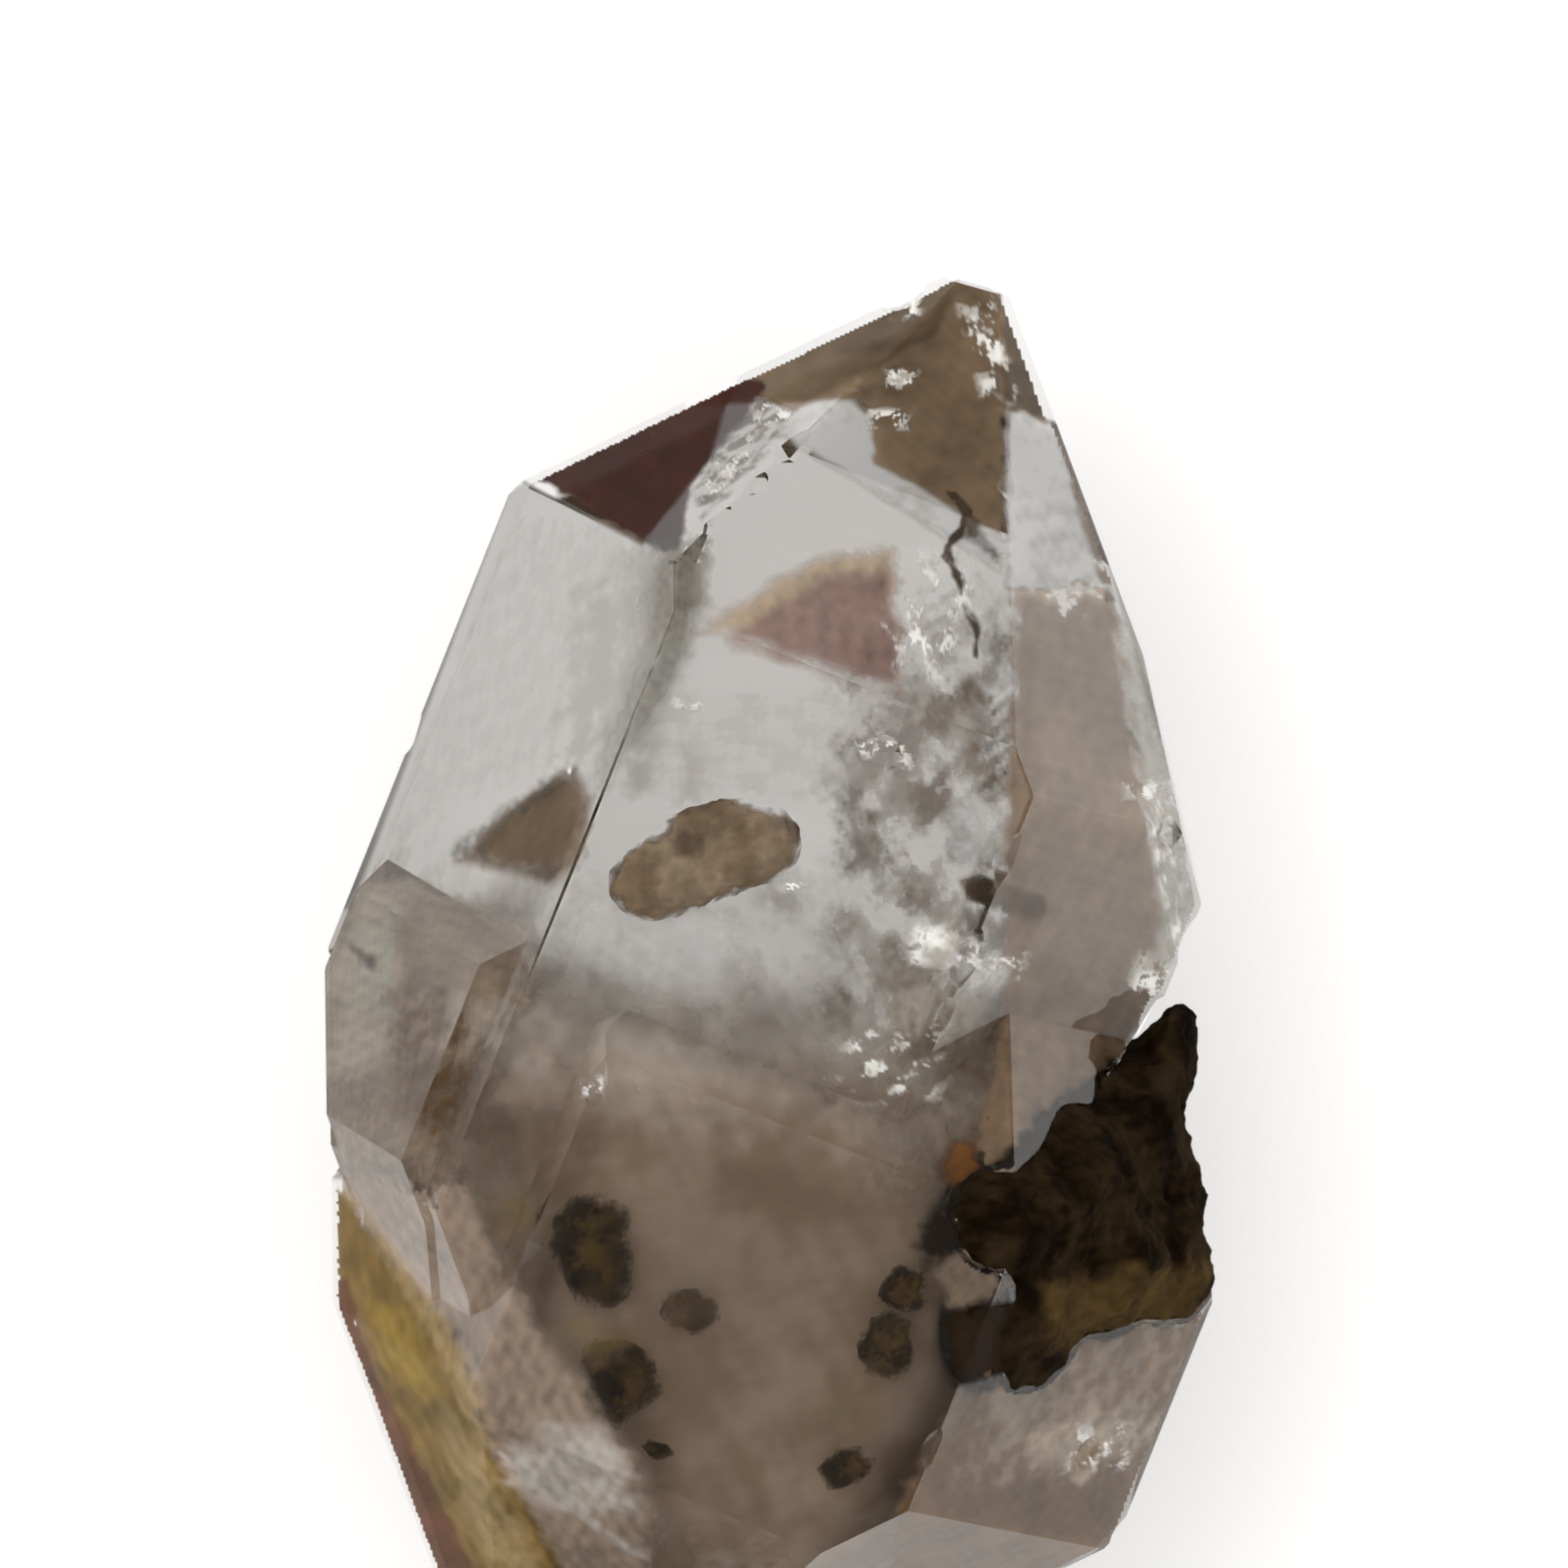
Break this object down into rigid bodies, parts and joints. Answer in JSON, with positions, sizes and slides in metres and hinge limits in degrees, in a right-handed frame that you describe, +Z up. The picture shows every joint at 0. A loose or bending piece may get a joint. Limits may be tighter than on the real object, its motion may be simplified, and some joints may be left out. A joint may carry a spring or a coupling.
{
  "type": "herkimer diamond quartz crystal",
  "caption": "Clear doubly terminated quartz crystal, a parallel growth with a dark lump of rock matter in the notch on its right side, lying on its back prism face.",
  "frame": {"origin": "on the floor, under the middle of the whole object", "axes": "+Y along the crystal's c axis towards its upper termination, +Z up out of the front prism face, +X to the right as seen from above"},
  "size_m": [0.0244, 0.0402, 0.0186],
  "materials": {
    "quartz": "clear, smooth faces with brown-grey haze in the lower half",
    "matrix": "rough, dark brown-black"
  },
  "bodies": {
    "root": {"crystal": "quartz", "dark_matrix": "matrix"}
  },
  "joints": []
}
